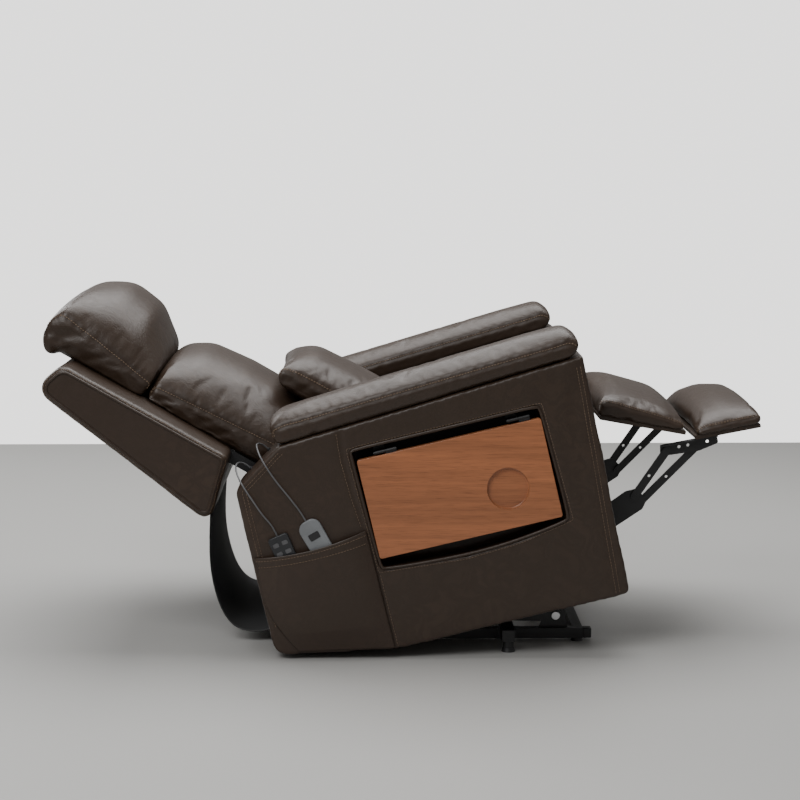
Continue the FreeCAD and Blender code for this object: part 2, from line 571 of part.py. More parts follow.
def tray():
    face = -ARM_OUT - 2.0
    board = box(0, TRAY_LENGTH, face, face + TRAY_THICK, -TRAY_HEIGHT, 0)
    board = board.makeFillet(6.0, [e for e in board.Edges if e.BoundBox.YLength > TRAY_THICK - 1])
    board = board.makeFillet(1.5, [e for e in board.Edges if e.BoundBox.YLength < 0.01
                                   and abs(e.BoundBox.YMin - face) < 0.01])
    cup = Part.makeCylinder(CUP_RADIUS + 6, CUP_DEPTH, vec(CUP_AT[0], face - 0.01, -CUP_AT[1]), vec(0, 1, 0))
    cup = cup.makeFillet(4.0, [e for e in cup.Edges if e.BoundBox.YMin > face + CUP_DEPTH - 1])
    board = board.cut(cup)
    board.rotate(vec(0, 0, 0), vec(0, 1, 0), TRAY_SLOPE - 0.5)
    board.translate(vec(TRAY_TOP_REAR[0], 0, TRAY_TOP_REAR[1]))
    axis_y, axis_z = -ARM_OUT + 3.0, TRAY_TOP_REAR[1] + 7.0
    fixed, moving = [], []
    for x in (-500.0, -180.0):
        barrel = Part.makeCylinder(4, 26, vec(x, axis_y, axis_z), vec(1, 0, 0))
        barrel = barrel.cut(Part.makeCylinder(2 + RUN_GAP, 28, vec(x - 1, axis_y, axis_z), vec(1, 0, 0)))
        leaf = box(x, x + 26, axis_y + 3.2, axis_y + 40, axis_z - 0.5, axis_z + 2.5)
        post = box(x, x + 26, axis_y + 37, axis_y + 40, axis_z, axis_z + 16)
        fixed.append(barrel.fuse([leaf, post]))
        rod = Part.makeCylinder(2, 56, vec(x - 2, axis_y, axis_z), vec(1, 0, 0))
        moving_barrel = Part.makeCylinder(4, 26, vec(x + 27, axis_y, axis_z), vec(1, 0, 0))
        tab = box(x + 27, x + 53, axis_y - 1.5, axis_y + 1.5, axis_z - 9.2, axis_z)
        moving.append(rod.fuse([moving_barrel, tab]).cut(board))
    save("tray_board", board, CHASSIS)
    grow("tray_hinge_fixed", fixed, CHASSIS)
    grow("tray_hinge_moving", moving, CHASSIS)


# ---- Handsets and their cords ----

def handset(top, lean, width, length, thick, arch):
    """Flat handset: top middle at (x, z), its length leaning by an angle, outer face towards -Y."""
    face = -ARM_OUT - 1.0
    half = width / 2
    shape = slab([(-half, 0, arch), (-half + 3, -length, 12), (half - 3, -length, 12), (half, 0, arch)],
                 face - thick, face)
    shape = rounded(shape, 2.5, across)
    shape.rotate(vec(0, 0, 0), vec(0, 1, 0), -lean)
    shape.translate(vec(top[0], 0, top[1]))
    return shape


def key(top, lean, down, across_by, size, thick):
    """Button on a handset's outer face, with a stem that goes into its well."""
    face = -ARM_OUT - 1.0 - thick
    rx, rz = size
    a = math.radians(lean)
    x = top[0] + across_by * math.cos(a) + down * math.sin(a)
    z = top[1] + across_by * math.sin(a) - down * math.cos(a)
    shape = slab([(-rx, -rz, 3), (rx, -rz, 3), (rx, rz, 3), (-rx, rz, 3)], face - 0.9, face + 2.0)
    shape.rotate(vec(0, 0, 0), vec(0, 1, 0), -lean)
    shape.translate(vec(x, 0, z))
    well = slab([(-rx - 0.3, -rz - 0.3, 3), (rx + 0.3, -rz - 0.3, 3), (rx + 0.3, rz + 0.3, 3),
                 (-rx - 0.3, rz + 0.3, 3)], face - 2.0, face + 3.2)
    well.rotate(vec(0, 0, 0), vec(0, 1, 0), -lean)
    well.translate(vec(x, 0, z))
    return shape, well


def cord(name, route):
    """Round cord: straight runs joined by tangent arcs as large as the runs allow."""
    points = [vec(*p) for p in route]
    edges = []
    radii = []
    here = points[0]
    for i in range(1, len(points) - 1):
        corner = points[i]
        back_run, next_run = points[i - 1] - corner, points[i + 1] - corner
        shorter = min(back_run.Length, next_run.Length)
        a, b = vec(*back_run).normalize(), vec(*next_run).normalize()
        turn = math.pi - a.getAngle(b)
        reach = 0.45 * shorter
        radius = reach / math.tan(turn / 2)
        start, end = corner + a * reach, corner + b * reach
        middle = corner + (a + b).normalize() * (radius / math.cos(turn / 2) - radius)
        edges += [Part.LineSegment(here, start).toShape(), Part.Arc(start, middle, end).toShape()]
        radii.append(radius)
        here = end
    edges.append(Part.LineSegment(here, points[-1]).toShape())
    wire = Part.Wire(edges)
    ring = Part.makeCircle(CORD_R, points[0], points[1] - points[0])
    tube = wire.makePipeShell([Part.Wire(ring)], True, False)
    expected = math.pi * CORD_R**2 * wire.Length
    print(f"{name} length {wire.Length:.1f} mm, smallest radius {min(radii):.1f} mm, "
          f"volume / (section x length) {tube.Volume / expected:.4f}")
    save(name, tube, CHASSIS)
    return points


def handsets():
    main_top, main_lean, main_thick = (-767.0, 334.0), 9.6, 12.0
    body = handset(main_top, main_lean, 50.0, 150.0, main_thick, 7.0)
    number = 0
    for down in (20.0, 42.0):
        for across_by in (-11.0, 11.0):
            number += 1
            button, well = key(main_top, main_lean, down, across_by, (7.0, 5.0), main_thick)
            body = body.cut(well)
            save(f"handset_button_{number}", button, CHASSIS)
    save("handset_body", body, CHASSIS)

    soft_top, soft_lean = (-693.0, 352.0), 16.0
    body = handset(soft_top, soft_lean, 55.0, 150.0, main_thick, 22.0)
    button, well = key(soft_top, soft_lean, 40.0, 0.0, (13.0, 8.0), main_thick)
    save("massage_handset_body", body.cut(well), CHASSIS)
    save("massage_button", button, CHASSIS)

    glands = []
    for name, route in (("handset_cord", MAIN_CORD), ("massage_cord", MASSAGE_CORD)):
        points = cord(name, route)
        first = (points[0] - points[1]).normalize()
        gland = Part.makeCone(6, 4, 9, points[0] + first * 3, first * -1)
        hole = Part.makeCylinder(CORD_R, 20, points[0] + first * 5, first * -1)
        glands.append(gland.cut(hole))
    body = side_slab(ARM, ARM_IN, ARM_OUT, -1)
    grow("cord_glands", [g.cut(body) for g in glands], CHASSIS)


os.makedirs("parts", exist_ok=True)
base()
lift()
actuator("lift", LIFT_MOTOR[0], LIFT_MOTOR[1], LIFT_MOTOR[2], 100.0)
actuator("recline", RECLINE_MOTOR[0], RECLINE_MOTOR[1], RECLINE_MOTOR[2], 80.0)
actuator("leg", LEG_MOTOR[0], LEG_MOTOR[1], LEG_MOTOR[2], -58.0, CHASSIS)
seat()
arms()
back()
legrest()
tray()
handsets()
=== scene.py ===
import json
import math

import bmesh
import bpy
import numpy as np
from mathutils import Matrix, Vector, noise
from mathutils.bvhtree import BVHTree
from mathutils.kdtree import KDTree


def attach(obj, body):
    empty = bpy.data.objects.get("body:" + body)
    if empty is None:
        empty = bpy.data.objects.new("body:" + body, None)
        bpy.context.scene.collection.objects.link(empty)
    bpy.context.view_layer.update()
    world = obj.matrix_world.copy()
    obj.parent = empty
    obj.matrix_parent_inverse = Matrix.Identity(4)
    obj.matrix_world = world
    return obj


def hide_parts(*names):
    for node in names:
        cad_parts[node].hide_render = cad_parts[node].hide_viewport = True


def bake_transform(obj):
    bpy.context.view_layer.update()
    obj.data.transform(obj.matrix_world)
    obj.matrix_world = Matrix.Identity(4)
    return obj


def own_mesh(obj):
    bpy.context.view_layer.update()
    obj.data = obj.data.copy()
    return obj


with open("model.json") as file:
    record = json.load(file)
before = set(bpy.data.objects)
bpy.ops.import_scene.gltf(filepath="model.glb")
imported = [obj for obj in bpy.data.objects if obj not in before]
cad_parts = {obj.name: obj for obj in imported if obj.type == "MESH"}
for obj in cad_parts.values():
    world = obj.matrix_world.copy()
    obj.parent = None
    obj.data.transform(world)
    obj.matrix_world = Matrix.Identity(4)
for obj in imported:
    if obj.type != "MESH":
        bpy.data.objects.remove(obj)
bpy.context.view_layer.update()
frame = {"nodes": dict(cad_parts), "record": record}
NODES = frame["nodes"]

bl_info = {
    "name": "Lift Recliner Upholstery",
    "version": (1, 0, 0),
    "blender": (4, 5, 0),
    "location": "3D View > Sidebar > Chair",
    "description": "Builds the upholstery, trim, cords and finishes of a powered lift recliner chair",
    "category": "Add Mesh",
}

# The chair's body is drawn level and tilted back; the backrest has its own lean.
TILT = math.radians(13.6)
CHASSIS = Matrix.Translation((0.523, 0, 0.155)) @ Matrix.Rotation(-TILT, 4, "Y")
ARM_FACE = 0.450
SIDES = (("right", -1), ("left", 1))


def seat_point(x, y, z):
    """A point of the level body, in millimetres, placed in the chair's frame."""
    return CHASSIS @ (Vector((x, y, z)) / 1000)


# ---- Properties ----

class ChairSizes(bpy.types.PropertyGroup):
    """Sizes a maker may want to change"""
    cushion_mesh: bpy.props.FloatProperty(
        name="Cushion mesh", description="Size of a cushion's mesh faces before they are divided",
        default=0.008, unit="LENGTH")
    panel_mesh: bpy.props.FloatProperty(
        name="Panel mesh", description="Size of the mesh faces on the arms and the back shell",
        default=0.006, unit="LENGTH")
    stitch_pitch: bpy.props.FloatProperty(
        name="Stitch pitch", description="Distance from one stitch to the next",
        default=0.0072, unit="LENGTH")
    thread: bpy.props.FloatProperty(
        name="Thread", description="Radius of the topstitching thread", default=0.00062, unit="LENGTH")
    welt: bpy.props.FloatProperty(
        name="Welt", description="Radius of the piping on the back shell", default=0.0032, unit="LENGTH")
    cord: bpy.props.FloatProperty(
        name="Cord", description="Radius of the handset cords", default=0.002, unit="LENGTH")


class ChairColours(bpy.types.PropertyGroup):
    """Colours of the chair's finishes"""
    leather: bpy.props.FloatVectorProperty(
        name="Leather", description="Colour of the leather", subtype="COLOR", default=(0.046, 0.0280, 0.0175))
    # Darker tone for the random mottled patches, also used as painted shade along the creases.
    leather_patch_and_crease_shade: bpy.props.FloatVectorProperty(
        name="Leather, deep", description="Colour of the leather in its folds", subtype="COLOR",
        default=(0.022, 0.0128, 0.0080))
    thread: bpy.props.FloatVectorProperty(
        name="Thread", description="Colour of the topstitching", subtype="COLOR",
        default=(0.190, 0.128, 0.082))
    wood: bpy.props.FloatVectorProperty(
        name="Tray wood", description="Main colour of the tray", subtype="COLOR",
        default=(0.483, 0.174, 0.068))
    steel: bpy.props.FloatVectorProperty(
        name="Steel", description="Colour of the powder coat", subtype="COLOR", default=(0.012, 0.012, 0.013))


def sizes():
    return bpy.context.scene.chair_sizes


def colours():
    return bpy.context.scene.chair_colours


# ---- Material building ----

def node(tree, kind, at, **values):
    """Adds a shader node and sets its properties and unlinked inputs."""
    n = tree.nodes.new(kind)
    n.location = at
    for key, value in values.items():
        if hasattr(n, key):
            setattr(n, key, value)
        else:
            n.inputs[key.replace("_", " ")].default_value = value
    return n


def link(tree, a, b):
    tree.links.new(a, b)


def ramp(tree, at, stops):
    """Colour ramp with the given (position, colour) stops."""
    n = tree.nodes.new("ShaderNodeValToRGB")
    n.location = at
    while len(n.color_ramp.elements) < len(stops):
        n.color_ramp.elements.new(0.5)
    for e, (position, colour) in zip(n.color_ramp.elements, stops):
        e.position = position
        e.color = (*colour, 1) if len(colour) == 3 else colour
    return n


def grey(value):
    return (value, value, value)


def group(name, inputs, outputs):
    """An empty shader group with float inputs and the given outputs."""
    g = bpy.data.node_groups.new(name, "ShaderNodeTree")
    for label, kind, default in inputs:
        s = g.interface.new_socket(label, in_out="INPUT", socket_type=kind)
        s.default_value = default
    for label, kind in outputs:
        g.interface.new_socket(label, in_out="OUTPUT", socket_type=kind)
    into = g.nodes.new("NodeGroupInput")
    into.location = (-900, 0)
    out = g.nodes.new("NodeGroupOutput")
    out.location = (900, 0)
    return g, into.outputs, out.inputs


def hide_group():
    """Leather: mottled colour, pebble grain, fine creases darkened with painted shade, worn sheen."""
    g, i, o = group("hide_surface",
                    [("Colour", "NodeSocketColor", (0.05, 0.03, 0.02, 1)),
                     ("Fold Colour", "NodeSocketColor", (0.02, 0.012, 0.01, 1)),
                     ("Grain", "NodeSocketFloat", 0.3), ("Creases", "NodeSocketFloat", 0.4)],
                    [("Colour", "NodeSocketColor"), ("Roughness", "NodeSocketFloat"),
                     ("Normal", "NodeSocketVector")])
    at = node(g, "ShaderNodeTexCoord", (-900, -300)).outputs["Object"]
    cloud = node(g, "ShaderNodeTexNoise", (-700, 300), Scale=4.0, Detail=5.0, Roughness=0.6)
    fine = node(g, "ShaderNodeTexNoise", (-700, 60), Scale=60.0, Detail=3.0)
    crease = node(g, "ShaderNodeTexNoise", (-700, -180), Scale=17.0, Detail=6.0, Roughness=0.62,
                  Distortion=1.2)
    pebble = node(g, "ShaderNodeTexVoronoi", (-700, -440), feature="SMOOTH_F1", Scale=620.0)
    for n in (cloud, fine, crease, pebble):
        link(g, at, n.inputs["Vector"])
    patches = ramp(g, (-450, 300), [(0.30, grey(0)), (0.72, grey(1))])
    link(g, cloud.outputs["Fac"], patches.inputs["Fac"])
    # The crease lines give the bump height and also paint shade into the colour: the hide turns to the darker
    # tone along them.
    crease_height_and_shade = ramp(g, (-450, -180), [(0.40, grey(1)), (0.495, grey(0)), (0.51, grey(0)), (0.60, grey(1))])
    link(g, crease.outputs["Fac"], crease_height_and_shade.inputs["Fac"])
    shade = node(g, "ShaderNodeMath", (-150, 100), operation="MULTIPLY")
    link(g, patches.outputs["Color"], shade.inputs[0])
    link(g, crease_height_and_shade.outputs["Color"], shade.inputs[1])
    colour = node(g, "ShaderNodeMix", (100, 300), data_type="RGBA")
    link(g, shade.outputs[0], colour.inputs["Factor"])
    link(g, i["Fold Colour"], colour.inputs[6])
    link(g, i["Colour"], colour.inputs[7])
    soften = node(g, "ShaderNodeMix", (300, 300), data_type="RGBA")
    soften.inputs["Factor"].default_value = 0.55
    link(g, colour.outputs[2], soften.inputs[6])
    link(g, i["Colour"], soften.inputs[7])
    link(g, soften.outputs[2], o["Colour"])
    rough = node(g, "ShaderNodeMapRange", (100, 0))
    rough.inputs["To Min"].default_value = 0.33
    rough.inputs["To Max"].default_value = 0.50
    link(g, fine.outputs["Fac"], rough.inputs["Value"])
    link(g, rough.outputs["Result"], o["Roughness"])
    bump = node(g, "ShaderNodeBump", (300, -300), Distance=0.0009)
    link(g, i["Creases"], bump.inputs["Strength"])
    link(g, crease_height_and_shade.outputs["Color"], bump.inputs["Height"])
    tiny = node(g, "ShaderNodeBump", (560, -300), Distance=0.0003)
    link(g, i["Grain"], tiny.inputs["Strength"])
    link(g, pebble.outputs["Distance"], tiny.inputs["Height"])
    link(g, bump.outputs["Normal"], tiny.inputs["Normal"])
    link(g, tiny.outputs["Normal"], o["Normal"])
    return g


def speckle_group():
    """Moulded or coated surface: fine bumps and a little colour change."""
    g, i, o = group("coated_surface",
                    [("Colour", "NodeSocketColor", (0.05, 0.05, 0.05, 1)),
                     ("Scale", "NodeSocketFloat", 900.0), ("Bumps", "NodeSocketFloat", 0.2),
                     ("Roughness", "NodeSocketFloat", 0.5)],
                    [("Colour", "NodeSocketColor"), ("Roughness", "NodeSocketFloat"),
                     ("Normal", "NodeSocketVector")])
    at = node(g, "ShaderNodeTexCoord", (-900, -300)).outputs["Object"]
    fine = node(g, "ShaderNodeTexNoise", (-650, 0), Detail=2.0)
    wide = node(g, "ShaderNodeTexNoise", (-650, 260), Scale=12.0, Detail=4.0)
    link(g, at, fine.inputs["Vector"])
    link(g, at, wide.inputs["Vector"])
    link(g, i["Scale"], fine.inputs["Scale"])
    tone = ramp(g, (-400, 260), [(0.3, grey(0.78)), (0.7, grey(1.18))])
    link(g, wide.outputs["Fac"], tone.inputs["Fac"])
    colour = node(g, "ShaderNodeMix", (-100, 260), data_type="RGBA", blend_type="MULTIPLY")
    colour.inputs["Factor"].default_value = 1.0
    link(g, i["Colour"], colour.inputs[6])
    link(g, tone.outputs["Color"], colour.inputs[7])
    link(g, colour.outputs[2], o["Colour"])
    spread = node(g, "ShaderNodeMapRange", (-400, 0))
    spread.inputs["To Min"].default_value = -0.09
    spread.inputs["To Max"].default_value = 0.09
    link(g, wide.outputs["Fac"], spread.inputs["Value"])
    total = node(g, "ShaderNodeMath", (-150, 0), operation="ADD")
    link(g, spread.outputs["Result"], total.inputs[0])
    link(g, i["Roughness"], total.inputs[1])
    link(g, total.outputs[0], o["Roughness"])
    bump = node(g, "ShaderNodeBump", (100, -200), Distance=0.0004)
    link(g, i["Bumps"], bump.inputs["Strength"])
    link(g, fine.outputs["Fac"], bump.inputs["Height"])
    link(g, bump.outputs["Normal"], o["Normal"])
    return g


def weave_group():
    """Plain woven cloth: crossing threads."""
    g, i, o = group("woven_surface",
                    [("Colour", "NodeSocketColor", (0.03, 0.03, 0.03, 1)),
                     ("Threads", "NodeSocketFloat", 700.0)],
                    [("Colour", "NodeSocketColor"), ("Roughness", "NodeSocketFloat"),
                     ("Normal", "NodeSocketVector")])
    at = node(g, "ShaderNodeTexCoord", (-900, -300)).outputs["Object"]
    waves = []
    for k, direction in enumerate(("Y", "DIAGONAL")):
        w = node(g, "ShaderNodeTexWave", (-650, 200 - 260 * k), wave_type="BANDS", bands_direction=direction)
        w.inputs["Distortion"].default_value = 0.6
        link(g, at, w.inputs["Vector"])
        link(g, i["Threads"], w.inputs["Scale"])
        waves.append(w)
    cross = node(g, "ShaderNodeMath", (-350, 60), operation="MULTIPLY")
    link(g, waves[0].outputs["Fac"], cross.inputs[0])
    link(g, waves[1].outputs["Fac"], cross.inputs[1])
    tone = ramp(g, (-150, 200), [(0.0, grey(0.55)), (1.0, grey(1.5))])
    link(g, cross.outputs[0], tone.inputs["Fac"])
    colour = node(g, "ShaderNodeMix", (150, 200), data_type="RGBA", blend_type="MULTIPLY")
    colour.inputs["Factor"].default_value = 1.0
    link(g, i["Colour"], colour.inputs[6])
    link(g, tone.outputs["Color"], colour.inputs[7])
    link(g, colour.outputs[2], o["Colour"])
    rough = node(g, "ShaderNodeMapRange", (150, 0))
    rough.inputs["To Min"].default_value = 0.72
    rough.inputs["To Max"].default_value = 0.92
    link(g, cross.outputs[0], rough.inputs["Value"])
    link(g, rough.outputs["Result"], o["Roughness"])
    bump = node(g, "ShaderNodeBump", (150, -200), Distance=0.0005, Strength=0.5)
    link(g, cross.outputs[0], bump.inputs["Height"])
    link(g, bump.outputs["Normal"], o["Normal"])
    return g


def grain_group():
    """Sawn wood: long grain, pores and slow bands, along the chair's tilted length."""
    g, i, o = group("wood_grain",
                    [("Light", "NodeSocketColor", (0.5, 0.25, 0.1, 1)),
                     ("Dark", "NodeSocketColor", (0.2, 0.07, 0.03, 1))],
                    [("Colour", "NodeSocketColor"), ("Roughness", "NodeSocketFloat"),
                     ("Normal", "NodeSocketVector")])
    at = node(g, "ShaderNodeTexCoord", (-1100, 0)).outputs["Object"]
    turn = node(g, "ShaderNodeMapping", (-900, 0), vector_type="POINT")
    turn.inputs["Rotation"].default_value = (0, TILT, 0)
    turn.inputs["Scale"].default_value = (0.55, 13.0, 13.0)
    link(g, at, turn.inputs["Vector"])
    bands = node(g, "ShaderNodeTexNoise", (-650, 300), Scale=1.5, Detail=3.0, Distortion=0.6)
    lines = node(g, "ShaderNodeTexNoise", (-650, 60), Scale=7.0, Detail=6.0, Roughness=0.68)
    pores = node(g, "ShaderNodeTexNoise", (-650, -200), Scale=42.0, Detail=2.0)
    for n in (bands, lines, pores):
        link(g, turn.outputs[0], n.inputs["Vector"])
    mix = node(g, "ShaderNodeMath", (-400, 200), operation="ADD")
    link(g, bands.outputs["Fac"], mix.inputs[0])
    link(g, lines.outputs["Fac"], mix.inputs[1])
    tone = ramp(g, (-200, 200), [(0.36, grey(0)), (0.66, grey(1))])
    half = node(g, "ShaderNodeMath", (-300, 100), operation="MULTIPLY")
    half.inputs[1].default_value = 0.5
    link(g, mix.outputs[0], half.inputs[0])
    link(g, half.outputs[0], tone.inputs["Fac"])
    colour = node(g, "ShaderNodeMix", (100, 200), data_type="RGBA")
    link(g, tone.outputs["Color"], colour.inputs["Factor"])
    link(g, i["Dark"], colour.inputs[6])
    link(g, i["Light"], colour.inputs[7])
    fleck = ramp(g, (-200, -200), [(0.33, grey(0.62)), (0.46, grey(1))])
    link(g, pores.outputs["Fac"], fleck.inputs["Fac"])
    final = node(g, "ShaderNodeMix", (350, 200), data_type="RGBA", blend_type="MULTIPLY")
    final.inputs["Factor"].default_value = 0.7
    link(g, colour.outputs[2], final.inputs[6])
    link(g, fleck.outputs["Color"], final.inputs[7])
    link(g, final.outputs[2], o["Colour"])
    rough = node(g, "ShaderNodeMapRange", (100, -60))
    rough.inputs["To Min"].default_value = 0.30
    rough.inputs["To Max"].default_value = 0.44
    link(g, lines.outputs["Fac"], rough.inputs["Value"])
    link(g, rough.outputs["Result"], o["Roughness"])
    bump = node(g, "ShaderNodeBump", (350, -250), Distance=0.0002, Strength=0.35)
    link(g, fleck.outputs["Color"], bump.inputs["Height"])
    link(g, bump.outputs["Normal"], o["Normal"])
    return g


GROUPS = {}
MATERIALS = {}


def surface(kind):
    """The shared shader group of that kind, built once."""
    if kind not in GROUPS:
        makers = {"hide": hide_group, "coated": speckle_group, "woven": weave_group, "grain": grain_group}
        GROUPS[kind] = makers[kind]()
    return GROUPS[kind]


def material(name, kind, inputs, **shader):
    """A material whose colour, roughness and bumps come from a shared group."""
    if name in MATERIALS:
        return MATERIALS[name]
    m = bpy.data.materials.new(name)
    m.use_nodes = True
    tree = m.node_tree
    bsdf = tree.nodes["Principled BSDF"]
    g = tree.nodes.new("ShaderNodeGroup")
    g.node_tree = surface(kind)
    g.location = (-350, 0)
    for key, value in inputs.items():
        g.inputs[key].default_value = (*value, 1) if hasattr(value, "__len__") else value
    link(tree, g.outputs["Colour"], bsdf.inputs["Base Color"])
    link(tree, g.outputs["Roughness"], bsdf.inputs["Roughness"])
    link(tree, g.outputs["Normal"], bsdf.inputs["Normal"])
    for key, value in shader.items():
        bsdf.inputs[key.replace("_", " ")].default_value = value
    MATERIALS[name] = m
    return m


def leather():
    c = colours()
    # The darker tone marks random patches and is painted shade along the creases.
    return material("espresso_leather", "hide",
                    {"Colour": c.leather, "Fold Colour": c.leather_patch_and_crease_shade, "Grain": 0.35, "Creases": 0.22},
                    Coat_Weight=0.06, Coat_Roughness=0.30, Specular_IOR_Level=0.42)


def thread():
    return material("tan_thread", "coated",
                    {"Colour": colours().thread, "Scale": 3000.0, "Bumps": 0.5, "Roughness": 0.62})


def coat():
    return material("black_powder_coat", "coated",
                    {"Colour": colours().steel, "Scale": 1100.0, "Bumps": 0.35, "Roughness": 0.42})


def plastic(name, colour, rough, bumps=0.15):
    return material(name, "coated", {"Colour": colour, "Scale": 1500.0, "Bumps": bumps, "Roughness": rough})


def cad_finish(slot):
    """The material that a CAD node of that slot is shown in."""
    c = colours()
    if slot == "tray_wood":
        return material("walnut_tray", "grain",
                        {"Light": c.wood, "Dark": tuple(v * 0.6 for v in c.wood)}, Coat_Weight=0.2,
                        Coat_Roughness=0.25)
    if slot == "board_wrap":
        return leather()
    if slot == "board":
        return material("seat_ply", "grain", {"Light": (0.42, 0.30, 0.18), "Dark": (0.26, 0.17, 0.09)})
    if slot == "flap_cloth":
        # The grey is partly the cloth's own dark tone and partly painted sheen, raised so the flap's shaded
        # inner side looks lit.
        return material("grey_backing_with_painted_sheen", "woven", {"Colour": (0.07, 0.07, 0.071), "Threads": 500.0})
    if slot == "recess_cloth":
        return material("black_cloth", "woven", {"Colour": (0.012, 0.012, 0.0125), "Threads": 500.0})
    metals = {
        "chrome_bolt": ("zinc_bolt", (0.62, 0.62, 0.64), 0.22),
        "spring_steel": ("drawn_steel", (0.42, 0.42, 0.44), 0.34),
    }
    if slot in metals:
        name, colour, rough = metals[slot]
        return material(name, "coated", {"Colour": colour, "Scale": 500.0, "Bumps": 0.08, "Roughness": rough},
                        Metallic=1.0)
    plastics = {
        "black_plastic": ("black_glass_nylon", (0.016, 0.016, 0.017), 0.46),
        "motor_housing": ("motor_shell", (0.028, 0.028, 0.030), 0.5),
        "handset_dark": ("graphite_handset", (0.022, 0.023, 0.026), 0.36),
        "handset_grey": ("grey_handset", (0.20, 0.21, 0.22), 0.38),
        "button_silver": ("smoke_key", (0.10, 0.10, 0.105), 0.3),
        "button_dark": ("dark_key", (0.02, 0.02, 0.022), 0.35),
        "cord_sheath": ("cord_sheath", (0.11, 0.11, 0.115), 0.5),
        "leather": ("dark_lining", (0.02, 0.013, 0.01), 0.6),
        "padded_leather": ("dark_lining", (0.02, 0.013, 0.01), 0.6),
    }
    return plastic(*plastics[slot]) if slot in plastics else coat()


# ---- Mesh helpers ----

def new_object(name, mesh):
    o = bpy.data.objects.new(name, mesh)
    bpy.context.scene.collection.objects.link(o)
    return o


def finish_mesh(name, bm, mat, smooth=True):
    """Writes a bmesh to a new object with one material."""
    mesh = bpy.data.meshes.new(name)
    bm.to_mesh(mesh)
    bm.free()
    mesh.materials.append(mat)
    for p in mesh.polygons:
        p.use_smooth = smooth
    return new_object(name, mesh)


def bake_modifiers(o):
    """Replaces the object's mesh by what its modifiers make of it."""
    graph = bpy.context.evaluated_depsgraph_get()
    mesh = bpy.data.meshes.new_from_object(o.evaluated_get(graph))
    old = o.data
    o.modifiers.clear()
    o.data = mesh
    bpy.data.meshes.remove(old)


def coordinates(o):
    co = np.empty(len(o.data.vertices) * 3)
    o.data.vertices.foreach_get("co", co)
    return co.reshape(-1, 3)


def set_coordinates(o, co):
    o.data.vertices.foreach_set("co", co.ravel())
    o.data.update()


def normals(o):
    n = np.empty(len(o.data.vertices) * 3)
    o.data.vertex_normals.foreach_get("vector", n)
    return n.reshape(-1, 3)


def noise_field(co, scale, seed, stretch=(1, 1, 1)):
    """Smooth noise from -1 to 1 at each point."""
    shift = Vector((seed * 7.1, seed * 3.3, seed * 5.7))
    s = Vector(stretch) * scale
    return np.array([noise.noise(Vector((p[0] * s.x, p[1] * s.y, p[2] * s.z)) + shift) for p in co])


def even_copy(source, name, size, passes):
    """A CAD solid's outer skin as an even mesh, with its edges softened."""
    bm = bmesh.new()
    bm.from_mesh(NODES[source].data)
    bmesh.ops.remove_doubles(bm, verts=bm.verts, dist=1e-5)
    mesh = bpy.data.meshes.new(name)
    bm.to_mesh(mesh)
    bm.free()
    o = new_object(name, mesh)
    remesh = o.modifiers.new("even", "REMESH")
    remesh.mode = "VOXEL"
    remesh.voxel_size = size
    bpy.context.view_layer.update()
    bake_modifiers(o)
    bm = bmesh.new()
    bm.from_mesh(o.data)
    bm.verts.ensure_lookup_table()
    start = max(bm.verts, key=lambda v: v.co.x)
    outer, todo = {start}, [start]
    while todo:
        for e in todo.pop().link_edges:
            for v in e.verts:
                if v not in outer:
                    outer.add(v)
                    todo.append(v)
    inner = [v for v in bm.verts if v not in outer]
    if inner:
        bmesh.ops.delete(bm, geom=inner, context="VERTS")
    for _ in range(passes):
        bmesh.ops.smooth_vert(bm, verts=bm.verts, factor=0.5, use_axis_x=True, use_axis_y=True,
                              use_axis_z=True)
    bm.to_mesh(o.data)
    bm.free()
    return o


def end_outline(source, sign, clearance=1e-4):
    """The loop of points round a CAD solid's end face, on the +Y or -Y side."""
    bm = bmesh.new()
    bm.from_mesh(NODES[source].data)
    bmesh.ops.remove_doubles(bm, verts=bm.verts, dist=1e-5)
    bm.normal_update()
    limit = max(sign * v.co.y for v in bm.verts) - clearance
    flat = [f for f in bm.faces if sign * f.normal.y > 0.99 and all(sign * v.co.y > limit for v in f.verts)]
    inside = set(flat)
    links = {}
    for f in flat:
        for e in f.edges:
            if any(g not in inside for g in e.link_faces):
                a, b = (tuple(v.co) for v in e.verts)
                links.setdefault(a, []).append(b)
                links.setdefault(b, []).append(a)
    bm.free()
    start = max(links, key=lambda p: p[0])
    loop, here, before = [start], start, None
    while True:
        options = [p for p in links[here] if p != before]
        before, here = here, options[0]
        if here == start or len(loop) > 5000:
            break
        loop.append(here)
    return [Vector(p) for p in loop]


def evenly(points, step, closed=False):
    """Points along a line at even steps."""
    run = list(points) + ([points[0]] if closed else [])
    out, carry = [], 0.0
    for a, b in zip(run, run[1:]):
        length = (b - a).length
        while carry < length:
            out.append(a.lerp(b, carry / length))
            carry += step
        carry -= length
    return out


def tree_of(points):
    t = KDTree(len(points))
    for i, p in enumerate(points):
        t.insert(p, i)
    t.balance()
    return t


def sew(o, seam, depth, width, gather, wave, seed):
    """Pulls a seam in and gathers the hide beside it."""
    t = tree_of(seam)
    co, n = coordinates(o), normals(o)
    wander = noise_field(co, 9.0, seed)
    for k, p in enumerate(co):
        _, index, distance = t.find(Vector(p))
        if distance > width * 6:
            continue
        pull = -depth * math.exp(-(distance / width) ** 2)
        phase = index * 2 * math.pi / wave + wander[k] * 5
        pull += (gather * math.sin(phase) * math.exp(-distance / (width * 1.8))
                 * (0.45 + 0.55 * abs(wander[k]) * 2))
        co[k] += n[k] * pull
    set_coordinates(o, co)


